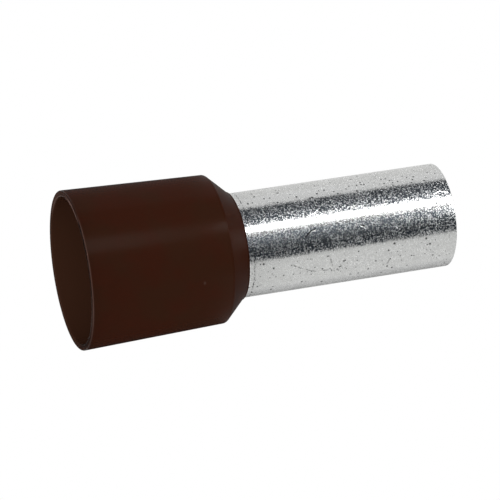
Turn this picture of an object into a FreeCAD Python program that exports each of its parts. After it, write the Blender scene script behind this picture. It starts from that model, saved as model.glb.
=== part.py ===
import FreeCAD, Part
import Sketcher
import os

# Wire ferrule for a 25 mm2 stranded conductor, standing upright on the rim of its mouth.
# Z is the ferrule's axis: the mouth rim lies on z = 0 and the metal barrel points up.
# It has two pieces: a moulded plastic collar, which takes the cable's insulation, and a
# tin-plated copper sleeve, drawn from tube, whose flared end seats in the collar's funnel.

# Driving dimensions in millimetres
SIZES = {
    # Insulating collar
    "mouth_diameter": 11.66,      # outside, across the rim
    "shoulder_diameter": 10.94,   # outside, where the conical shoulder starts
    "skirt_length": 10.62,        # from the rim to the shoulder
    "shoulder_length": 1.54,      # axial length of the conical shoulder
    "neck_land": 0.10,            # short straight band at the end of the shoulder
    "neck_lip": 0.14,             # plastic left over the barrel at the neck
    "collar_wall": 0.45,          # even wall of skirt and shoulder
    # Metal sleeve
    "barrel_bore": 7.30,          # inside, takes the strands
    "barrel_wall": 0.20,          # sheet of the barrel and its flare
    "barrel_length": 16.04,       # bare metal beyond the neck
    # Fit of the sleeve in the collar
    "seat_clearance": 0.02,       # all round, between sleeve and collar
    "flare_edge_gap": 0.15,       # from the flare's edge to the skirt's inner wall
    # Rounds
    "bend_radius": 0.80,          # outside of the bend from barrel to flare
    "shoulder_round": 0.15,       # outer edge of the shoulder
    "pocket_round": 0.30,         # inner corner under the shoulder
    "rim_round": 0.10,            # both edges of the mouth rim
    "lip_round": 0.05,            # outer edge of the neck
    "end_round": 0.05,            # outer edge of the barrel's free end; the inner one is a plain cut
}

doc = FreeCAD.newDocument("wire_ferrule")

sheet = doc.addObject("Spreadsheet::Sheet", "Sizes")
for row, (alias, value) in enumerate(SIZES.items(), start=1):
    sheet.set(f"A{row}", alias)
    sheet.set(f"B{row}", str(value))
    sheet.setAlias(f"B{row}", alias)
doc.recompute()

# Sizes that both pieces follow
BARREL_RADIUS = "(Sizes.barrel_bore / 2 + Sizes.barrel_wall)"
THROAT_RADIUS = f"({BARREL_RADIUS} + Sizes.seat_clearance)"
NECK_RADIUS = f"({THROAT_RADIUS} + Sizes.neck_lip)"
SHOULDER_RADIUS = "(Sizes.shoulder_diameter / 2)"
SHOULDER_TOP = "(Sizes.skirt_length + Sizes.shoulder_length)"
COLLAR_TOP = f"({SHOULDER_TOP} + Sizes.neck_land)"

# The same sizes as numbers, for the first rough place of each corner before the sketch is solved
mouth_radius = SIZES["mouth_diameter"] / 2
shoulder_radius = SIZES["shoulder_diameter"] / 2
bore_radius = SIZES["barrel_bore"] / 2
barrel_radius = bore_radius + SIZES["barrel_wall"]
throat_radius = barrel_radius + SIZES["seat_clearance"]
neck_radius = throat_radius + SIZES["neck_lip"]
shoulder_top = SIZES["skirt_length"] + SIZES["shoulder_length"]
collar_top = shoulder_top + SIZES["neck_land"]

# How a constraint names the sketch's origin and the two ends of a line
ORIGIN = -1
START = 1
END = 2
SAME_PLACE = 1e-4


def new_body(name):
    """A body with an empty half-section sketch on its XZ plane: x is the radius, y the height."""
    body = doc.addObject("PartDesign::Body", name)
    body.Label = name
    sketch = body.newObject("Sketcher::SketchObject", name + "_section")
    plane = [f for f in body.Origin.OriginFeatures if f.Role == "XZ_Plane"][0]
    sketch.AttachmentSupport = [(plane, "")]
    sketch.MapMode = "FlatFace"
    return body, sketch


def line(sketch, start, end, construction=False):
    """A straight line between two (radius, height) points."""
    segment = Part.LineSegment(FreeCAD.Vector(*start, 0), FreeCAD.Vector(*end, 0))
    return sketch.addGeometry(segment, construction)


def closed_outline(sketch, corners):
    """Lines from each corner to the next, joined end to start."""
    lines = [line(sketch, corner, corners[(i + 1) % len(corners)]) for i, corner in enumerate(corners)]
    for i, this in enumerate(lines):
        following = lines[(i + 1) % len(lines)]
        sketch.addConstraint(Sketcher.Constraint("Coincident", this, END, following, START))
    return lines


def corner_of(sketch, edge, point=START):
    """Where a line starts or ends."""
    segment = sketch.Geometry[edge]
    return segment.StartPoint if point == START else segment.EndPoint


def radius_of(sketch, edge, name, formula, point=START):
    """Sets the radius at which a line starts or ends."""
    number = corner_of(sketch, edge, point).x
    index = sketch.addConstraint(Sketcher.Constraint("DistanceX", ORIGIN, START, edge, point, number))
    sketch.renameConstraint(index, name)
    sketch.setExpression("Constraints." + name, formula)


def height_of(sketch, edge, name, formula, point=START):
    """Sets the height at which a line starts or ends."""
    number = corner_of(sketch, edge, point).y
    index = sketch.addConstraint(Sketcher.Constraint("DistanceY", ORIGIN, START, edge, point, number))
    sketch.renameConstraint(index, name)
    sketch.setExpression("Constraints." + name, formula)


def offset_line(sketch, edge, reference, name, formula, number):
    """Keeps a line parallel to another, at a set distance."""
    sketch.addConstraint(Sketcher.Constraint("Parallel", edge, reference))
    index = sketch.addConstraint(Sketcher.Constraint("Distance", edge, START, reference, number))
    sketch.renameConstraint(index, name)
    sketch.setExpression("Constraints." + name, formula)


def level(sketch, *edges):
    """Keeps lines square to the axis."""
    for edge in edges:
        sketch.addConstraint(Sketcher.Constraint("Horizontal", edge))


def upright(sketch, *edges):
    """Keeps lines parallel to the axis."""
    for edge in edges:
        sketch.addConstraint(Sketcher.Constraint("Vertical", edge))


def revolve(body, sketch):
    """Turns the half-section about the ferrule's axis."""
    turned = body.newObject("PartDesign::Revolution", body.Name + "_turned")
    turned.Profile = sketch
    turned.ReferenceAxis = (sketch, ["V_Axis"])
    turned.Angle = 360
    doc.recompute()


def ring_edge(shape, corner):
    """The name of the circular edge that passes through one corner of the half-section."""
    for number, edge in enumerate(shape.Edges, start=1):
        if not isinstance(edge.Curve, Part.Circle):
            continue
        off_radius = abs(edge.Curve.Radius - corner.x)
        off_height = abs(edge.Curve.Center.z - corner.y)
        if off_radius < SAME_PLACE and off_height < SAME_PLACE:
            return f"Edge{number}"
    raise ValueError(f"no ring at radius {corner.x:.3f}, height {corner.y:.3f}")


def round_rings(body, sketch, name, edges, formula):
    """Rounds the rings that the named lines start from."""
    base = body.Tip
    corners = [corner_of(sketch, edge) for edge in edges]
    fillet = body.newObject("PartDesign::Fillet", name)
    fillet.Base = (base, [ring_edge(base.Shape, corner) for corner in corners])
    fillet.setExpression("Radius", formula)
    doc.recompute()


# Insulating collar: a skirt that tapers in a little from its mouth, and a conical shoulder
# that runs down to a thin lip on the barrel, all of one even wall. Its throat grips the barrel.
collar, section = new_body("insulating_collar")
wall = SIZES["collar_wall"]
rim, skirt, shoulder, land, neck_end, throat, funnel, pocket = closed_outline(section, [
    (mouth_radius - wall, 0),
    (mouth_radius, 0),
    (shoulder_radius, SIZES["skirt_length"]),
    (neck_radius, shoulder_top),
    (neck_radius, collar_top),
    (throat_radius, collar_top),
    (throat_radius, shoulder_top - wall),
    (shoulder_radius - wall, SIZES["skirt_length"] - wall / 2),
])
level(section, rim, neck_end)
upright(section, land, throat)
section.addConstraint(Sketcher.Constraint("PointOnObject", skirt, START, ORIGIN))
radius_of(section, skirt, "mouth_radius", "Sizes.mouth_diameter / 2")
radius_of(section, shoulder, "shoulder_radius", SHOULDER_RADIUS)
height_of(section, shoulder, "shoulder_height", "Sizes.skirt_length")
radius_of(section, land, "neck_radius", NECK_RADIUS)
height_of(section, land, "neck_height", SHOULDER_TOP)
height_of(section, neck_end, "collar_height", COLLAR_TOP)
radius_of(section, throat, "throat_radius", THROAT_RADIUS)
offset_line(section, funnel, shoulder, "shoulder_wall", "Sizes.collar_wall", wall)
offset_line(section, pocket, skirt, "skirt_wall", "Sizes.collar_wall", wall)
doc.recompute()
revolve(collar, section)
round_rings(collar, section, "collar_throat_bend", [funnel], "Sizes.bend_radius - Sizes.seat_clearance")
round_rings(collar, section, "collar_pocket_round", [pocket], "Sizes.pocket_round")
round_rings(collar, section, "collar_shoulder_round", [shoulder], "Sizes.shoulder_round")
round_rings(collar, section, "collar_rim_round", [rim, skirt], "Sizes.rim_round")
round_rings(collar, section, "collar_lip_round", [neck_end], "Sizes.lip_round")

# Metal sleeve: thin tube, bent outwards at its lower end into a flare that lies along the
# funnel of the collar. The flare leads the strands into the barrel and holds it in the collar.
sleeve, section = new_body("metal_sleeve")
wall = SIZES["barrel_wall"]
seat_offset = SIZES["collar_wall"] + SIZES["seat_clearance"]
flare_radius = shoulder_radius - SIZES["collar_wall"] - SIZES["flare_edge_gap"]
end_height = collar_top + SIZES["barrel_length"]
barrel, free_end, bore, lead_in, flare_edge, flare = closed_outline(section, [
    (barrel_radius, shoulder_top - seat_offset),
    (barrel_radius, end_height),
    (bore_radius, end_height),
    (bore_radius, shoulder_top - seat_offset - wall),
    (flare_radius - wall, SIZES["skirt_length"] - wall),
    (flare_radius, SIZES["skirt_length"]),
])
collar_cone = line(section, (shoulder_radius, SIZES["skirt_length"]), (neck_radius, shoulder_top), True)
upright(section, barrel, bore)
level(section, free_end)
radius_of(section, collar_cone, "shoulder_radius", SHOULDER_RADIUS)
height_of(section, collar_cone, "shoulder_height", "Sizes.skirt_length")
radius_of(section, collar_cone, "neck_radius", NECK_RADIUS, END)
height_of(section, collar_cone, "neck_height", SHOULDER_TOP, END)
radius_of(section, barrel, "barrel_radius", BARREL_RADIUS)
radius_of(section, lead_in, "bore_radius", "Sizes.barrel_bore / 2")
height_of(section, free_end, "end_height", f"{COLLAR_TOP} + Sizes.barrel_length")
radius_of(section, flare, "flare_radius", f"{SHOULDER_RADIUS} - Sizes.collar_wall - Sizes.flare_edge_gap")
offset_line(section, flare, collar_cone, "seat", "Sizes.collar_wall + Sizes.seat_clearance", seat_offset)
offset_line(section, lead_in, flare, "flare_wall", "Sizes.barrel_wall", wall)
section.addConstraint(Sketcher.Constraint("Perpendicular", flare_edge, flare))
doc.recompute()
revolve(sleeve, section)
round_rings(sleeve, section, "sleeve_seat_bend", [barrel], "Sizes.bend_radius")
round_rings(sleeve, section, "sleeve_lead_in_bend", [lead_in], "Sizes.bend_radius + Sizes.barrel_wall")
round_rings(sleeve, section, "sleeve_end_round", [free_end], "Sizes.end_round")

doc.recompute()

# Nothing is written unless every object is sound
for item in doc.Objects:
    if "Invalid" in item.State or "Error" in item.State:
        raise ValueError(f"{item.Label} failed: {item.State}")
    if item.TypeId == "Sketcher::SketchObject" and not item.FullyConstrained:
        raise ValueError(f"{item.Label} isn't fully constrained")
for body in (collar, sleeve):
    if body.Shape.isNull() or not body.Shape.isValid() or len(body.Shape.Solids) != 1:
        raise ValueError(f"{body.Label} isn't one valid solid")

os.makedirs("parts", exist_ok=True)
for body in (collar, sleeve):
    body.Shape.exportStep(f"parts/{body.Label}.step")
    box = body.Shape.optimalBoundingBox()
    print(f"{body.Label}: {body.Shape.Volume:.2f} mm3, {box.XLength:.3f} x {box.YLength:.3f}"
          f" x {box.ZLength:.3f} mm, z {box.ZMin:.3f} to {box.ZMax:.3f}")
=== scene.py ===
import math

import bpy
from mathutils import Matrix, Vector


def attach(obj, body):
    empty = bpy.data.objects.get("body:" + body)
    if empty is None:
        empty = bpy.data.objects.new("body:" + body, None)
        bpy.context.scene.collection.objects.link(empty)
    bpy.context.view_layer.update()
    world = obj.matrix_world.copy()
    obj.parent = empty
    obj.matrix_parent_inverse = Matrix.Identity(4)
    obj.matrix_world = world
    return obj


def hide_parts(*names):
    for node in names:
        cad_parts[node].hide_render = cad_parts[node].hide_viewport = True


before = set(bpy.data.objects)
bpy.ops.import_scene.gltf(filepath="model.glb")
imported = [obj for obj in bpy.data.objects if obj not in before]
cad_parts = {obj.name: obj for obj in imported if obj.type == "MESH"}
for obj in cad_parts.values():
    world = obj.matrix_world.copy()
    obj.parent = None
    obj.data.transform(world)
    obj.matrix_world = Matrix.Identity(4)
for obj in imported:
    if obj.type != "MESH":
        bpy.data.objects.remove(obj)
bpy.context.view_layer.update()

# Sizes in millimetres, as the solids have them; scene lengths are metres
MM = 0.001
MOUTH_RADIUS = 5.83
SHOULDER_RADIUS = 5.47
SKIRT_LENGTH = 10.62
SHOULDER_LENGTH = 1.54
NECK_LAND = 0.10
NECK_LIP = 0.14
COLLAR_WALL = 0.45
BORE_RADIUS = 3.65
BARREL_WALL = 0.20
BARREL_LENGTH = 16.04
SEAT_CLEARANCE = 0.02
FLARE_EDGE_GAP = 0.15
BEND_RADIUS = 0.80
SHOULDER_ROUND = 0.15
POCKET_ROUND = 0.30
RIM_ROUND = 0.10
LIP_ROUND = 0.05
END_ROUND = 0.05

BARREL_RADIUS = BORE_RADIUS + BARREL_WALL
THROAT_RADIUS = BARREL_RADIUS + SEAT_CLEARANCE
NECK_RADIUS = THROAT_RADIUS + NECK_LIP
SHOULDER_TOP = SKIRT_LENGTH + SHOULDER_LENGTH
COLLAR_TOP = SHOULDER_TOP + NECK_LAND
BARREL_TOP = COLLAR_TOP + BARREL_LENGTH
CONE = [(SHOULDER_RADIUS, SKIRT_LENGTH), (NECK_RADIUS, SHOULDER_TOP)]

# Corners sharper than this many degrees stay crisp in smooth shading
SHARP_CORNER = 35


# Half-sections and turned meshes

def upright(radius):
    """The upright line at a radius."""
    return [(radius, 0.0), (radius, 1.0)]


def parallel(line, distance):
    """The line through two (radius, height) points, moved to its left by a distance."""
    (r0, z0), (r1, z1) = line
    length = math.hypot(r1 - r0, z1 - z0)
    across = ((z0 - z1) / length * distance, (r1 - r0) / length * distance)
    return [(r0 + across[0], z0 + across[1]), (r1 + across[0], z1 + across[1])]


def crossing(first, second):
    """Where two lines cross."""
    (ax, az), (bx, bz) = first
    (cx, cz), (dx, dz) = second
    ux, uz, vx, vz = bx - ax, bz - az, dx - cx, dz - cz
    share = ((cx - ax) * vz - (cz - az) * vx) / (ux * vz - uz * vx)
    return (ax + ux * share, az + uz * share)


def straight(start, end, pieces):
    """Points along a straight stretch, without its last one."""
    return [start.lerp(end, i / pieces) for i in range(pieces)]


def rounded_section(corners, arc_steps=8, wall_steps=4):
    """A closed section from (radius, height, round) corners, each round drawn as a true arc."""
    section = []
    count = len(corners)
    for i, (r, z, size) in enumerate(corners):
        corner = Vector((r, z))
        before = Vector(corners[i - 1][:2]) - corner
        after = Vector(corners[(i + 1) % count][:2]) - corner
        before.normalize()
        after.normalize()
        if size == 0:
            section.append([corner])
            continue
        half = before.angle(after) / 2
        reach = size / math.tan(half)
        centre = corner + (before + after).normalized() * (size / math.sin(half))
        first = corner + before * reach - centre
        last = corner + after * reach - centre
        turn = math.pi - 2 * half
        if first.x * last.y - first.y * last.x < 0:
            turn = -turn
        arc = []
        for step in range(arc_steps + 1):
            a = turn * step / arc_steps
            arc.append(centre + Vector((first.x * math.cos(a) - first.y * math.sin(a),
                                        first.x * math.sin(a) + first.y * math.cos(a))))
        section.append(arc)
    points = []
    for i, arc in enumerate(section):
        points += arc[:-1]
        following = section[(i + 1) % count][0]
        points += straight(arc[-1], following, wall_steps)
    return points


def turned(name, section, replaced, material, around=256):
    """A piece turned about the Z axis from its closed section."""
    vertices, faces = [], []
    count = len(section)
    for i in range(around):
        a = 2 * math.pi * i / around
        vertices += [(p.x * math.cos(a) * MM, p.x * math.sin(a) * MM, p.y * MM) for p in section]
    for i in range(around):
        here, there = i * count, (i + 1) % around * count
        for j in range(count):
            k = (j + 1) % count
            faces.append((here + j, there + j, there + k, here + k))
    mesh = bpy.data.meshes.new(name)
    mesh.from_pydata(vertices, [], faces)
    mesh.materials.append(material)
    mesh.validate()
    mesh.shade_smooth()
    mesh.set_sharp_from_angle(angle=math.radians(SHARP_CORNER))
    piece = bpy.data.objects.new(name, mesh)
    bpy.context.scene.collection.objects.link(piece)
    even = piece.modifiers.new("even_shading", "WEIGHTED_NORMAL")
    even.keep_sharp = True
    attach(piece, "root")
    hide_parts(replaced)


# Node helpers

# Pits differ in size, since each one's distances are multiplied by a random factor between these
PIT_FACTORS = (0.8, 2.4)
# The inner share of a pit's radius and of a scratch's half width that shows at full strength
PIT_CORE = 0.55
SCRATCH_CORE = 0.3


class Nodes:
    """A material or world with its nodes cleared, and short ways to add to them."""

    def __init__(self, owner):
        owner.use_nodes = True
        self.tree = owner.node_tree
        self.tree.nodes.clear()

    def add(self, kind, **settings):
        node = self.tree.nodes.new(kind)
        for name, value in settings.items():
            setattr(node, name, value)
        return node

    def put(self, socket, value):
        """Sets a socket to a plain value, or links another socket to it."""
        if isinstance(value, bpy.types.NodeSocket):
            self.tree.links.new(value, socket)
        else:
            socket.default_value = value

    def math(self, operation, *values, clamp=False):
        node = self.add("ShaderNodeMath", operation=operation, use_clamp=clamp)
        for socket, value in zip(node.inputs, values):
            self.put(socket, value)
        return node.outputs[0]

    def product(self, first, *others):
        for value in others:
            first = self.math("MULTIPLY", first, value)
        return first

    def greatest(self, first, *others):
        for value in others:
            first = self.math("MAXIMUM", first, value)
        return first

    def ramp(self, value, low, high, out_low=0.0, out_high=1.0, smooth=True):
        """A value mapped from one range to another, held at both ends."""
        node = self.add("ShaderNodeMapRange", clamp=True,
                        interpolation_type="SMOOTHSTEP" if smooth else "LINEAR")
        for socket, number in zip(node.inputs, (value, low, high, out_low, out_high)):
            self.put(socket, number)
        return node.outputs[0]

    def fall(self, value, low, high):
        """1 up to the low end of a range, falling smoothly to 0 at its high end."""
        return self.ramp(value, low, high, 1.0, 0.0)

    def near(self, value, centre, width):
        """1 at a value, falling smoothly to 0 at a width from it."""
        away = self.math("ABSOLUTE", self.math("SUBTRACT", value, centre))
        return self.fall(away, 0.0, width)

    def split(self, vector):
        """The three parts of a vector or colour."""
        node = self.add("ShaderNodeSeparateXYZ")
        self.put(node.inputs[0], vector)
        return node.outputs

    def stretch(self, place, sizes):
        node = self.add("ShaderNodeMapping")
        self.put(node.inputs["Vector"], place)
        node.inputs["Scale"].default_value = sizes
        return node.outputs[0]

    def noise(self, place, scale, detail=2.0, roughness=0.5):
        node = self.add("ShaderNodeTexNoise")
        self.put(node.inputs["Vector"], place)
        self.put(node.inputs["Scale"], scale)
        self.put(node.inputs["Detail"], detail)
        self.put(node.inputs["Roughness"], roughness)
        return node.outputs["Fac"]

    def grains(self, place, spacing):
        """Cells side by side: the distance from each one's middle, and a random colour for each."""
        node = self.add("ShaderNodeTexVoronoi")
        self.put(node.inputs["Vector"], place)
        node.inputs["Scale"].default_value = 1 / spacing
        return node.outputs["Distance"], node.outputs["Color"]

    def pits(self, place, spacing, size, share):
        """Scattered round pits in a share of all cells, which may differ from place to place."""
        away, colour = self.grains(place, spacing)
        parts = self.split(colour)
        chosen = self.math("LESS_THAN", parts[0], share)
        away = self.product(away, self.ramp(parts[1], 0.0, 1.0, *PIT_FACTORS))
        return self.product(self.fall(away, PIT_CORE * size / spacing, size / spacing), chosen)

    def around_point(self, place, centre, reach):
        """1 at a point, falling smoothly to 0 at a reach from it."""
        away = self.add("ShaderNodeVectorMath", operation="DISTANCE")
        self.put(away.inputs[0], place)
        away.inputs[1].default_value = (*centre, 0.0)
        return self.fall(away.outputs["Value"], 0.0, reach)

    def scratch_part(self, place, start, end, width):
        """1 along a straight line between two points, falling to 0 at a width from it."""
        run = Vector((*end, 0.0)) - Vector((*start, 0.0))
        from_start = self.add("ShaderNodeVectorMath", operation="SUBTRACT")
        self.put(from_start.inputs[0], place)
        from_start.inputs[1].default_value = (*start, 0.0)
        along = self.add("ShaderNodeVectorMath", operation="DOT_PRODUCT")
        self.put(along.inputs[0], from_start.outputs[0])
        along.inputs[1].default_value = run
        share = self.math("DIVIDE", along.outputs["Value"], run.length_squared, clamp=True)
        nearest = self.add("ShaderNodeVectorMath", operation="SCALE")
        nearest.inputs[0].default_value = run
        self.put(nearest.inputs["Scale"], share)
        away = self.add("ShaderNodeVectorMath", operation="DISTANCE")
        self.put(away.inputs[0], from_start.outputs[0])
        self.put(away.inputs[1], nearest.outputs[0])
        return self.fall(away.outputs["Value"], SCRATCH_CORE * width, width)

    def scratch(self, place, points, width):
        """1 along a line through some points, falling to 0 at a width from it."""
        parts = [self.scratch_part(place, start, end, width) for start, end in zip(points, points[1:])]
        return self.greatest(*parts)

    def tilted(self, values, slope):
        """The surface normal, leaning a little another way on each grain."""
        lean = self.add("ShaderNodeVectorMath", operation="MULTIPLY_ADD")
        self.put(lean.inputs[0], values)
        lean.inputs[1].default_value = (2 * slope,) * 3
        lean.inputs[2].default_value = (-slope,) * 3
        whole = self.add("ShaderNodeVectorMath", operation="ADD")
        self.put(whole.inputs[0], lean.outputs[0])
        self.put(whole.inputs[1], self.add("ShaderNodeNewGeometry").outputs["Normal"])
        unit = self.add("ShaderNodeVectorMath", operation="NORMALIZE")
        self.put(unit.inputs[0], whole.outputs[0])
        return unit.outputs[0]

    def mix(self, share, first, second):
        node = self.add("ShaderNodeMix", data_type="RGBA")
        self.put(node.inputs["Factor"], share)
        self.put(node.inputs["A"], first)
        self.put(node.inputs["B"], second)
        return node.outputs["Result"]

    def bump(self, height, strength, depth, normal=None):
        """A bumped normal, on top of another one if that is given; the depth is in millimetres."""
        node = self.add("ShaderNodeBump")
        node.inputs["Strength"].default_value = strength
        node.inputs["Distance"].default_value = depth * MM
        self.put(node.inputs["Height"], height)
        if normal is not None:
            self.put(node.inputs["Normal"], normal)
        return node.outputs[0]

    def shader(self, kind, **inputs):
        """A shader node with some inputs set, named as in Blender with _ for a space."""
        node = self.add(kind)
        for name, value in inputs.items():
            self.put(node.inputs[name.replace("_", " ")], value)
        return node

    def mix_shaders(self, share, first, second):
        node = self.add("ShaderNodeMixShader")
        self.put(node.inputs[0], share)
        self.put(node.inputs[1], first.outputs[0])
        self.put(node.inputs[2], second.outputs[0])
        return node

    def finish(self, shader, kind="ShaderNodeOutputMaterial"):
        self.put(self.add(kind).inputs["Surface"], shader.outputs[0])


def place_nodes(nodes):
    """The object's own coordinates in millimetres, as one place and one by one, and the radius."""
    coordinates = nodes.add("ShaderNodeTexCoord")
    scaled = nodes.add("ShaderNodeVectorMath", operation="SCALE")
    nodes.put(scaled.inputs[0], coordinates.outputs["Object"])
    scaled.inputs["Scale"].default_value = 1 / MM
    place = scaled.outputs[0]
    x, y, z = nodes.split(place)
    radius = nodes.math("SQRT", nodes.math("ADD", nodes.product(x, x), nodes.product(y, y)))
    return place, x, y, z, radius


def wall_place(nodes, x, y, z, off=0.0):
    """A place as its turn and height along the wall in millimetres, and how far it counts as off it.

    The turn is measured along the barrel's wall, from -Y towards -X.
    """
    turn = nodes.math("ARCTAN2", nodes.product(x, -1.0), nodes.product(y, -1.0))
    wall = nodes.add("ShaderNodeCombineXYZ")
    for socket, value in zip(wall.inputs, (nodes.product(turn, BARREL_RADIUS), z, off)):
        nodes.put(socket, value)
    return wall.outputs[0]


# Collar material

# Linear colours
BROWN = (0.0345, 0.0114, 0.0052, 1.0)
WARM_BROWN = (0.0385, 0.0098, 0.0044, 1.0)
INNER_BROWN = (0.0312, 0.0124, 0.0068, 1.0)
# The shoulder's brown is the skirt's, darkened: painted shade that offsets the light and reflections its
# cone catches
SHOULDER_PAINTED_SHADE = (0.0305, 0.0064, 0.0013, 1.0)
# A pale brown for the dust speck, and for painted highlight along the rim's inner edge
DUST_AND_PAINTED_HIGHLIGHT = (0.085, 0.050, 0.041, 1.0)
# A paler brown for painted highlight along the rim's outer edge and its left corner
BRIGHT_PAINTED_HIGHLIGHT = (0.175, 0.101, 0.084, 1.0)
# A near black for painted shade just inside the rim's front
RIM_PAINTED_SHADE = (0.006, 0.002, 0.001, 1.0)

SATIN_ROUGHNESS = (0.20, 0.28)
SHOULDER_ROUGHNESS = 0.50
COLLAR_GLOSS = 0.06
MOULD_MARK_DEPTH = 0.003

# The heights between which the skirt's colour and roughness change to the shoulder's, whose darker brown
# is painted shade
SHOULDER_CHANGE = (SKIRT_LENGTH - 0.20, SKIRT_LENGTH + 0.05)

# Painted highlights and painted shade on the rim, as the photograph shows them, with left and right as
# seen from -Y. These are stretches of Y, X or radius in millimetres over which they come or go
FRONT_FADE = (-1.5, 2.0)
LEFT_FADE = (-5.3, -3.8)
RIGHT_RISE = (1.0, 3.5)
RIGHT_FADE = (3.4, 5.5)
OUTER_RISE = (-4.4, -2.4)
CORNER_RISE = (-5.5, -4.6)
CORNER_FADE = (-3.9, -3.0)
SHADE_FADE = (MOUTH_RADIUS - 0.26, MOUTH_RADIUS - 0.10)
# Each painted highlight line's middle, as a radius, and its half width
INNER_LINE = (MOUTH_RADIUS - COLLAR_WALL + RIM_ROUND * 0.5, 0.09)
OUTER_LINE = (MOUTH_RADIUS - RIM_ROUND * 0.3, 0.08)
CORNER_LINE = (MOUTH_RADIUS - 0.27, 0.14)
# How far the painted highlights and painted shade reach up the walls
RIM_PAINT_HEIGHT = 0.16
OUTER_HIGHLIGHT_HEIGHT = 0.11
# Shares of full painted highlight: across the rim beside its inner line, at the far right, and along the
# corner line
ACROSS_HIGHLIGHT = 0.35
FAR_RIGHT_HIGHLIGHT = 0.25
CORNER_HIGHLIGHT = 0.7

# A dust speck that the photograph shows, as its turn and height
DUST_SPECK = (-1.65, 8.35)
SPECK_REACH = 0.14
SPECK_SHARE = 0.6


def collar_colour(nodes, place, z, radius, shoulder):
    """Two close browns in soft clouds, with another on the inside and a darker brown of painted shade on
    the shoulder.
    """
    clouds = nodes.ramp(nodes.noise(place, scale=0.35, detail=3.0), 0.35, 0.65)
    base = nodes.mix(clouds, BROWN, WARM_BROWN)
    taper = (MOUTH_RADIUS - SHOULDER_RADIUS) / SKIRT_LENGTH
    level_radius = nodes.math("MULTIPLY_ADD", z, taper, radius)
    inside = nodes.math("LESS_THAN", level_radius, MOUTH_RADIUS - COLLAR_WALL / 2)
    base = nodes.mix(inside, base, INNER_BROWN)
    # Painted shade on the shoulder
    return nodes.mix(shoulder, base, SHOULDER_PAINTED_SHADE)


def paint_rim_highlights_and_shade(nodes, base, x, y, z, radius):
    """Paints shade on the rim at the front, and pale lines of painted highlight along its edges."""
    front = nodes.fall(y, *FRONT_FADE)
    at_rim = nodes.near(z, 0.0, RIM_PAINT_HEIGHT)
    far_right = nodes.ramp(x, *RIGHT_FADE, 1.0, FAR_RIGHT_HIGHLIGHT)
    left_side = nodes.fall(x, *LEFT_FADE)
    right_side = nodes.product(nodes.ramp(x, *RIGHT_RISE), front, far_right)
    inner_line = nodes.greatest(nodes.near(radius, *INNER_LINE), ACROSS_HIGHLIGHT)
    shade = nodes.product(nodes.fall(radius, *SHADE_FADE), at_rim, front)
    inner = nodes.product(inner_line, nodes.greatest(left_side, right_side), at_rim)
    outer = nodes.product(nodes.near(radius, *OUTER_LINE), front, nodes.ramp(x, *OUTER_RISE), far_right,
                          nodes.near(z, 0.0, OUTER_HIGHLIGHT_HEIGHT))
    corner = nodes.product(nodes.ramp(x, *CORNER_RISE), nodes.fall(x, *CORNER_FADE),
                           nodes.near(radius, *CORNER_LINE), at_rim, front, CORNER_HIGHLIGHT)
    # Painted shade first, then the painted highlight lines, on the rim
    base = nodes.mix(shade, base, RIM_PAINTED_SHADE)
    base = nodes.mix(inner, base, DUST_AND_PAINTED_HIGHLIGHT)
    base = nodes.mix(outer, base, BRIGHT_PAINTED_HIGHLIGHT)
    return nodes.mix(corner, base, BRIGHT_PAINTED_HIGHLIGHT)


def collar_plastic():
    """Dark brown moulded plastic with a satin face and faint mould marks, a darker brown of painted shade
    on the shoulder, and painted highlights and painted shade on the rim.
    """
    material = bpy.data.materials.new("collar_plastic")
    nodes = Nodes(material)
    place, x, y, z, radius = place_nodes(nodes)
    shoulder = nodes.ramp(z, *SHOULDER_CHANGE)
    base = collar_colour(nodes, place, z, radius, shoulder)
    base = paint_rim_highlights_and_shade(nodes, base, x, y, z, radius)
    speck = nodes.around_point(wall_place(nodes, x, y, z), DUST_SPECK, SPECK_REACH)
    base = nodes.mix(nodes.product(speck, SPECK_SHARE), base, DUST_AND_PAINTED_HIGHLIGHT)
    grain = nodes.noise(place, scale=9.0, detail=3.0, roughness=0.6)
    streaks = nodes.noise(nodes.stretch(place, (0.3, 0.3, 9.0)), scale=1.0, roughness=0.6)
    normal = nodes.bump(grain, strength=0.25, depth=MOULD_MARK_DEPTH)
    normal = nodes.bump(streaks, strength=0.3, depth=MOULD_MARK_DEPTH, normal=normal)
    satin = nodes.ramp(grain, 0.2, 0.8, *SATIN_ROUGHNESS)
    roughness = nodes.greatest(satin, nodes.product(shoulder, SHOULDER_ROUGHNESS))
    nodes.finish(nodes.shader(
        "ShaderNodeBsdfPrincipled", Base_Color=base, Specular_IOR_Level=COLLAR_GLOSS, Normal=normal,
        Roughness=roughness))
    return material


# Sleeve material

# Linear colours
TIN = (0.89, 0.895, 0.89, 1.0)
DULL_TIN = (0.65, 0.655, 0.65, 1.0)
BRIGHT_TIN = (0.96, 0.96, 0.96, 1.0)
DARK_PIT = (0.10, 0.10, 0.10, 1.0)

PLATE_ROUGHNESS = (0.14, 0.43)
LIGHT_SCRATCH_ROUGHNESS = 0.25
MARK_DEPTH = 0.02

# The speckle: its grains' spacing and slope, the range of their random values over which they turn
# rough, and how much soft clouds move those values
FLECK_SPACING = 0.065
FLECK_SLOPE = 0.035
ROUGH_FLECKS = (0.55, 0.85)
CLOUD_SHIFT = 0.08

# Pits: their spacing, their radius before its random factor, the share of cells that have one, and the
# spots, as turn and height, round which more of them do
PIT_SPACING = 0.22
PIT_RADIUS = 0.085
PIT_SHARE = (0.10, 0.40)
CROWDED_REACH = 0.9
CROWDED_SHARE = 0.6
CROWDED_SPOTS = [
    (3.5, 21.7), (3.4, 23.8), (3.6, 25.5), (-2.95, 19.45), (-2.4, 25.0), (-2.8, 26.3), (-3.4, 27.4)]

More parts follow.
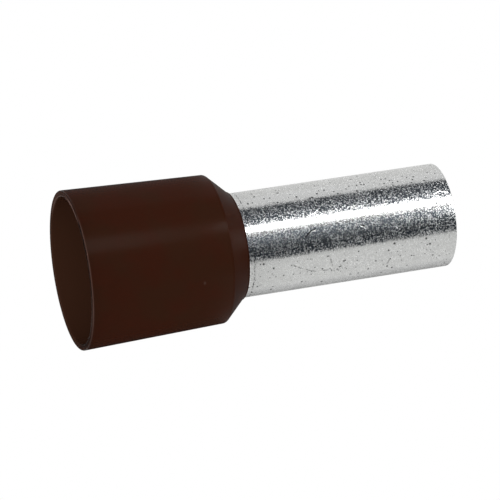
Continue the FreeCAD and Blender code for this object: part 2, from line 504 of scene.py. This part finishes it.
# Marks on the barrel that the photograph shows, as (turn, height) points on its wall in millimetres
DARK_SCRATCHES = [
    [(-0.18, 16.64), (0.06, 16.91), (0.23, 17.17), (0.30, 17.49)],
    [(0.11, 20.93), (-0.02, 21.20)],
]
FAINT_SCRATCHES = [
    [(-2.10, 18.46), (-2.41, 18.55)],
    [(-2.94, 23.09), (-3.30, 23.01)],
]
LIGHT_SCRATCHES = [
    [(0.11, 18.16), (-0.16, 18.38)],
    [(-0.04, 20.93), (-0.27, 21.26)],
    [(-0.40, 20.41), (-0.60, 20.63)],
    [(-0.48, 23.16), (-0.38, 23.48), (-0.65, 23.74)],
    [(1.49, 17.36), (1.49, 17.62), (1.84, 18.00)],
    [(1.64, 27.01), (1.81, 27.47), (1.67, 27.86)],
]
DOTTED_SCRATCH = [(-2.03, 15.38), (-2.51, 16.21), (-2.98, 17.19), (-3.08, 18.38), (-3.11, 19.68)]
# Half widths of those marks, and how strong the weaker ones are
SCRATCH_WIDTH = 0.085
FAINT_WIDTH = 0.09
DOTTED_WIDTH = 0.05
FAINT_SHARE = 0.5
LIGHT_SHARE = 0.7
DOTTED_SHARE = 0.8
# The rings beside the collar, each as its height and half width
BRIGHT_RING = (COLLAR_TOP + 0.05, 0.10)
DOTTED_RING = (COLLAR_TOP + 0.38, 0.06)
# How far from these marks the bore's wall counts as lying, so that it shows none of them
FAR_OFF = 10.0


def dark_marks(nodes, place, z, wall):
    """Pits, dark and faint scratches, and what is dotted: 1 where the plate is darkest."""
    share = nodes.ramp(nodes.noise(place, scale=0.5, detail=1.0), 0.4, 0.65, *PIT_SHARE)
    for spot in CROWDED_SPOTS:
        more = nodes.product(nodes.around_point(wall, spot, CROWDED_REACH), CROWDED_SHARE)
        share = nodes.math("ADD", share, more)
    dark = nodes.pits(place, PIT_SPACING, PIT_RADIUS, share)
    for points in DARK_SCRATCHES:
        dark = nodes.greatest(dark, nodes.scratch(wall, points, SCRATCH_WIDTH))
    for points in FAINT_SCRATCHES:
        faint = nodes.product(nodes.scratch(wall, points, FAINT_WIDTH), FAINT_SHARE)
        dark = nodes.greatest(dark, faint)
    dotted = nodes.greatest(nodes.scratch(wall, DOTTED_SCRATCH, DOTTED_WIDTH), nodes.near(z, *DOTTED_RING))
    dots = nodes.ramp(nodes.noise(place, scale=6.0), 0.45, 0.55, 0.0, DOTTED_SHARE)
    return nodes.greatest(dark, nodes.product(dotted, dots))


def light_marks(nodes, wall):
    """Light scratches, as shares of full brightness."""
    scratches = [nodes.scratch(wall, points, SCRATCH_WIDTH) for points in LIGHT_SCRATCHES]
    return nodes.product(nodes.greatest(*scratches), LIGHT_SHARE)


def tinned_copper():
    """Bright tin plate over copper: a soft mirror broken up by a fine rough speckle, pits and scratches.

    The plate shows a bright line where it leaves the collar and a dotted ring a little further on.
    """
    material = bpy.data.materials.new("tinned_copper")
    nodes = Nodes(material)
    place, x, y, z, radius = place_nodes(nodes)
    in_bore = nodes.math("LESS_THAN", radius, BORE_RADIUS + BARREL_WALL / 2)
    wall = wall_place(nodes, x, y, z, off=nodes.product(in_bore, FAR_OFF))
    dark = dark_marks(nodes, place, z, wall)
    light = light_marks(nodes, wall)
    clouds = nodes.noise(place, scale=0.9, detail=3.0, roughness=0.6)
    flecks = nodes.grains(place, FLECK_SPACING)[1]
    shift = nodes.ramp(clouds, 0.3, 0.7, -CLOUD_SHIFT, CLOUD_SHIFT)
    speckle = nodes.ramp(nodes.math("ADD", nodes.split(flecks)[0], shift), *ROUGH_FLECKS, smooth=False)
    base = nodes.mix(speckle, DULL_TIN, TIN)
    base = nodes.mix(nodes.greatest(light, nodes.near(z, *BRIGHT_RING)), base, BRIGHT_TIN)
    base = nodes.mix(dark, base, DARK_PIT)
    unpitted = nodes.math("SUBTRACT", 1.0, dark)
    roughness = nodes.ramp(nodes.product(speckle, unpitted), 0.0, 1.0, *PLATE_ROUGHNESS)
    roughness = nodes.greatest(roughness, nodes.product(light, LIGHT_SCRATCH_ROUGHNESS))
    normal = nodes.tilted(flecks, FLECK_SLOPE)
    normal = nodes.bump(unpitted, strength=0.6, depth=MARK_DEPTH, normal=normal)
    normal = nodes.bump(light, strength=0.7, depth=MARK_DEPTH, normal=normal)
    nodes.finish(nodes.shader(
        "ShaderNodeBsdfPrincipled", Base_Color=base, Metallic=1.0, Normal=normal, Roughness=roughness))
    return material


# Pieces

def make_collar():
    """The moulded collar: skirt, shoulder and neck, of one even wall down to the throat."""
    skirt = [(MOUTH_RADIUS, 0.0), (SHOULDER_RADIUS, SKIRT_LENGTH)]
    pocket_wall = parallel(skirt, COLLAR_WALL)
    funnel = parallel(CONE, COLLAR_WALL)
    rim = crossing(pocket_wall, [(0.0, 0.0), (1.0, 0.0)])
    pocket = crossing(pocket_wall, funnel)
    throat = crossing(funnel, upright(THROAT_RADIUS))
    section = rounded_section([
        (*rim, RIM_ROUND),
        (*skirt[0], RIM_ROUND),
        (*CONE[0], SHOULDER_ROUND),
        (*CONE[1], 0),
        (NECK_RADIUS, COLLAR_TOP, LIP_ROUND),
        (THROAT_RADIUS, COLLAR_TOP, 0),
        (*throat, BEND_RADIUS - SEAT_CLEARANCE),
        (*pocket, POCKET_ROUND),
    ])
    turned("collar", section, "insulating_collar", collar_plastic())


def make_sleeve():
    """The thin sleeve: a straight barrel with a flare that sits in the collar's funnel."""
    seat = parallel(CONE, COLLAR_WALL + SEAT_CLEARANCE)
    lead_in = parallel(seat, BARREL_WALL)
    edge = crossing(seat, upright(SHOULDER_RADIUS - COLLAR_WALL - FLARE_EDGE_GAP))
    along = Vector(seat[1]) - Vector(seat[0])
    square = [edge, (edge[0] - along.y, edge[1] + along.x)]
    section = rounded_section([
        (*edge, 0),
        (*crossing(seat, upright(BARREL_RADIUS)), BEND_RADIUS),
        (BARREL_RADIUS, BARREL_TOP, END_ROUND),
        (BORE_RADIUS, BARREL_TOP, 0),
        (*crossing(lead_in, upright(BORE_RADIUS)), BEND_RADIUS + BARREL_WALL),
        (*crossing(lead_in, square), 0),
    ])
    turned("sleeve", section, "metal_sleeve", tinned_copper())


make_collar()
make_sleeve()


# Floor

FLOOR_REACH = 2000.0
FLOOR_HOLE = 5.74
FLOOR_STEPS = 96
PAPER = (0.93, 0.93, 0.93, 1.0)


def stage_mesh(name, vertices, faces, material):
    mesh = bpy.data.meshes.new(name)
    mesh.from_pydata(vertices, [], faces)
    mesh.materials.append(material)
    made = bpy.data.objects.new(name, mesh)
    bpy.context.scene.collection.objects.link(made)
    return made


def seen_from_front(nodes, shader):
    """Shows a shader on a face's front and nothing on its back."""
    clear = nodes.shader("ShaderNodeBsdfTransparent")
    behind = nodes.add("ShaderNodeNewGeometry").outputs["Backfacing"]
    nodes.finish(nodes.mix_shaders(behind, shader, clear))


def make_floor():
    """Pale matt paper with a round hole under the mouth.

    From underneath, where the photograph's camera is, the paper is clear.
    """
    material = bpy.data.materials.new("floor_paper")
    nodes = Nodes(material)
    seen_from_front(nodes, nodes.shader("ShaderNodeBsdfDiffuse", Color=PAPER))
    vertices, faces = [], []
    for i in range(FLOOR_STEPS):
        a = 2 * math.pi * i / FLOOR_STEPS
        for reach in (FLOOR_HOLE * MM, FLOOR_REACH * MM):
            vertices.append((math.cos(a) * reach, math.sin(a) * reach, 0.0))
    for i in range(FLOOR_STEPS):
        k = (i + 1) % FLOOR_STEPS
        faces.append((2 * i, 2 * i + 1, 2 * k + 1, 2 * k))
    stage_mesh("floor", vertices, faces, material)


# Reflection cards

# The upright cards stand round the part, in millimetres. The low ones are for the collar, and those
# above them for the barrel
CARD_RADIUS = 24.0
LOW_CARD_TOP = 17.5
CARD_TOP = 70.0
CARD_STEPS = 24
HIGH_LIGHT_RADIUS = 23.5
HIGH_LIGHT_BOTTOM = 40.0
# Level cards: over the room, over the part and under its mouth
CANOPY_REACH = 400.0
CEILING_REACH = 45.0
UNDER_DEPTH = 17.5
UNDER_BORE_REACH = 15.0
MIDDLE_GAP = 0.1

# Where reflections begin and end across the barrel in the photograph: 0 is its middle, 1 its upper edge
BACK_EDGE = -0.87
DARK_BOTTOM = -0.349
FADE_BOTTOM = -0.20
HIGH_LIGHT_EDGE = 0.02
FADE_TOP = 0.13
STRIP = (0.228, 0.315)
COLLAR_STRIP = (0.17, 0.335)
DARK_TOP = 0.67
PANEL_TOP = 0.86
# The far edge of the card behind the part, as an angle from the photograph's camera
BACK_ANGLE = math.radians(-157)

# The collar's strip by height: its name, bottom, top and tone
COLLAR_STRIPS = (("near_mouth", 0.0, 9.5, 2.0),
                 ("halfway", 9.5, 13.5, 1.5),
                 ("near_shoulder", 13.5, LOW_CARD_TOP, 0.4))

COOL = (0.76, 0.95, 1.22, 1.0)
FAINTLY_COOL = (0.86, 0.97, 1.11, 1.0)
WHITE = (1.0, 1.0, 1.0, 1.0)


def card_angle(across):
    """Where a card's edge stands so that it shows at a given place across the barrel.

    The angle is measured from the photograph's camera, towards -X.
    """
    return 2 * math.asin(across) - math.asin(BARREL_RADIUS * across / CARD_RADIUS)


def make_card(name, start, end, first, second, tones, colour=WHITE, fall=1.0):
    """A curved card that only mirrors see, from one angle to another, shaded from one tone to the next.

    Its two long edges are (radius, height) points. An upright card is seen from inside: its top edge
    comes first where the angle grows, and its bottom edge where it shrinks. A level one is seen from
    below where its inner edge comes first, and from above where its outer edge does. Backs are clear.
    A larger fall keeps the first tone for longer.
    """
    material = bpy.data.materials.new(name)
    nodes = Nodes(material)
    across = nodes.split(nodes.add("ShaderNodeUVMap", uv_map="across").outputs[0])[0]
    strength = nodes.ramp(nodes.math("POWER", across, fall), 0.0, 1.0, *tones, smooth=False)
    seen_from_front(nodes, nodes.shader("ShaderNodeEmission", Color=colour, Strength=strength))
    vertices, faces = [], []
    for i in range(CARD_STEPS + 1):
        a = start + (end - start) * i / CARD_STEPS
        for radius, height in (first, second):
            vertices.append((-math.sin(a) * radius * MM, -math.cos(a) * radius * MM, height * MM))
    for i in range(CARD_STEPS):
        faces.append((2 * i, 2 * i + 1, 2 * i + 3, 2 * i + 2))
    card = stage_mesh(name, vertices, faces, material)
    places = card.data.uv_layers.new(name="across")
    for loop in card.data.loops:
        places.data[loop.index].uv = (loop.vertex_index // 2 / CARD_STEPS, 0.0)
    card.visible_camera = False
    card.visible_diffuse = False
    card.visible_transmission = False
    card.visible_volume_scatter = False
    card.visible_shadow = False


def make_barrel_cards():
    """The bands that the photograph shows on the barrel."""
    low, high = (CARD_RADIUS, LOW_CARD_TOP), (CARD_RADIUS, CARD_TOP)
    high_light = (HIGH_LIGHT_RADIUS, CARD_TOP), (HIGH_LIGHT_RADIUS, HIGH_LIGHT_BOTTOM)
    dark_bottom, dark_top = card_angle(DARK_BOTTOM), card_angle(DARK_TOP)
    fade_bottom, fade_top = card_angle(FADE_BOTTOM), card_angle(FADE_TOP)
    strip_bottom, strip_top = [card_angle(across) for across in STRIP]
    make_card("lower_flag", dark_bottom, fade_bottom, high, low, tones=(0.032, 0.032), colour=COOL)
    make_card("lower_fade", fade_bottom, fade_top, high, low, tones=(0.032, 0.27), colour=FAINTLY_COOL,
              fall=1.5)
    make_card("strip_edge", fade_top, strip_bottom, high, low, tones=(0.26, 0.70), fall=1.3)
    make_card("strip_light", strip_bottom, strip_top, high, low, tones=(7.4, 7.4))
    make_card("high_light", card_angle(HIGH_LIGHT_EDGE), strip_bottom, *high_light, tones=(11.0, 11.0))
    make_card("upper_flag", dark_top, strip_top, low, high, tones=(0.05, 0.23), colour=FAINTLY_COOL,
              fall=1.9)
    make_card("upper_panel", dark_top, card_angle(PANEL_TOP), high, low, tones=(0.84, 0.80))
    make_card("back_flag", BACK_ANGLE, card_angle(BACK_EDGE), high, low, tones=(0.25, 0.71))


def make_collar_cards():
    """The collar's soft strip with dark cards at its sides."""
    bottom, top = (CARD_RADIUS, 0.0), (CARD_RADIUS, LOW_CARD_TOP)
    strip_bottom, strip_top = [card_angle(across) for across in COLLAR_STRIP]
    make_card("lower_flag_low", card_angle(DARK_BOTTOM), strip_bottom, top, bottom, tones=(0.02, 0.02),
              colour=COOL)
    for name, strip_low, strip_high, tone in COLLAR_STRIPS:
        make_card("strip_" + name, strip_bottom, strip_top, (CARD_RADIUS, strip_high),
                  (CARD_RADIUS, strip_low), tones=(tone, tone))
    make_card("upper_flag_low", strip_top, card_angle(DARK_TOP), top, bottom, tones=(0.03, 0.03),
              colour=COOL)


def make_level_cards():
    """Cards over and under the part, for faces that mirror what is above or below them."""
    card_top, canopy = (CARD_RADIUS, LOW_CARD_TOP), (CANOPY_REACH, LOW_CARD_TOP)
    middle, ceiling = (MIDDLE_GAP, CARD_TOP), (CEILING_REACH, CARD_TOP)
    under_middle, under_bore = (MIDDLE_GAP, -UNDER_DEPTH), (UNDER_BORE_REACH, -UNDER_DEPTH)
    under_reach = (CANOPY_REACH, -UNDER_DEPTH)
    make_card("upper_canopy", card_angle(DARK_TOP), math.pi, card_top, canopy, tones=(0.25, 0.05))
    make_card("lower_canopy", -math.pi, card_angle(DARK_BOTTOM), card_top, canopy, tones=(0.02, 0.02))
    make_card("ceiling", -math.pi, math.pi, middle, ceiling, tones=(0.08, 0.08))
    make_card("under_mouth", -math.pi, math.pi, under_reach, under_bore, tones=(0.03, 0.03))
    make_card("under_bore", -math.pi, math.pi, under_bore, under_middle, tones=(0.75, 0.75))


# World and lamps

ROOM = (1.0, 1.0, 0.99, 1.0)
ROOM_TONE = 0.745
PLAIN_LIGHT = 0.93


def make_world():
    """White to the eye, plain light on the object, and a light grey room in its mirror faces."""
    world = bpy.data.worlds.new("studio")
    bpy.context.scene.world = world
    nodes = Nodes(world)
    path = nodes.add("ShaderNodeLightPath").outputs
    backdrop = nodes.shader("ShaderNodeBackground", Color=WHITE, Strength=1.0)
    light = nodes.shader("ShaderNodeBackground", Color=WHITE, Strength=PLAIN_LIGHT)
    room = nodes.shader("ShaderNodeBackground", Color=ROOM, Strength=ROOM_TONE)
    unseen = nodes.mix_shaders(path["Is Glossy Ray"], light, room)
    nodes.finish(nodes.mix_shaders(path["Is Camera Ray"], unseen, backdrop), "ShaderNodeOutputWorld")


def make_lamp(name, place, target, size, power):
    """A soft square lamp, given in millimetres and watts, that mirror faces don't show."""
    lamp = bpy.data.lights.new(name, "AREA")
    lamp.size = size * MM
    lamp.energy = power
    made = bpy.data.objects.new(name, lamp)
    made.location = Vector(place) * MM
    aim = Vector(target) - Vector(place)
    made.rotation_euler = aim.to_track_quat("-Z", "Y").to_euler()
    bpy.context.scene.collection.objects.link(made)
    made.visible_glossy = False


make_floor()
make_barrel_cards()
make_collar_cards()
make_level_cards()
make_world()
make_lamp("overhead", place=(-150, -80, 260), target=(0, 0, 10), size=150, power=0.10)
make_lamp("mouth_light", place=(0, -150, -80), target=(0, 3, 0), size=60, power=0.17)


# The photograph's camera, fitted to the ferrule's outline, with its sensor and depth in millimetres

PHOTO_SIDE = 500
FOCAL_PIXELS = 3058
MOUTH_CENTRE_PIXEL = (70.80, 270.77)
MOUTH_DEPTH = 219.73
TURN_AWAY = math.radians(16.52)
TILT_UP = math.radians(8.35)
SENSOR = 36.0
# Clip distances in metres
NEAREST = 0.01
FARTHEST = 10.0


def make_camera():
    """Puts the ferrule's mouth and axis where the photograph has them.

    The fit is in the camera's own frame: x right, y down, z forward.
    """
    across, down = [(pixel - PHOTO_SIDE / 2) / FOCAL_PIXELS for pixel in MOUTH_CENTRE_PIXEL]
    mouth = Vector((across, down, 1.0)) * MOUTH_DEPTH * MM
    axis = Vector((math.cos(TURN_AWAY) * math.cos(TILT_UP),
                   -math.sin(TILT_UP),
                   math.sin(TURN_AWAY) * math.cos(TILT_UP)))
    to_camera = -mouth
    sideways = to_camera - axis * to_camera.dot(axis)
    y_axis = -sideways.normalized()
    x_axis = y_axis.cross(axis)
    to_part = Matrix((x_axis, y_axis, axis))
    right = to_part @ Vector((1, 0, 0))
    up = to_part @ Vector((0, -1, 0))
    back = to_part @ Vector((0, 0, -1))
    camera = bpy.data.cameras.new("photo_camera")
    camera.sensor_width = SENSOR
    camera.lens = FOCAL_PIXELS * SENSOR / PHOTO_SIDE
    camera.clip_start = NEAREST
    camera.clip_end = FARTHEST
    made = bpy.data.objects.new("photo_camera", camera)
    bpy.context.scene.collection.objects.link(made)
    turn = Matrix((right, up, back)).transposed()
    made.matrix_world = Matrix.Translation(to_part @ to_camera) @ turn.to_4x4()
    bpy.context.scene.camera = made


make_camera()
bpy.context.scene.view_settings.view_transform = "Standard"
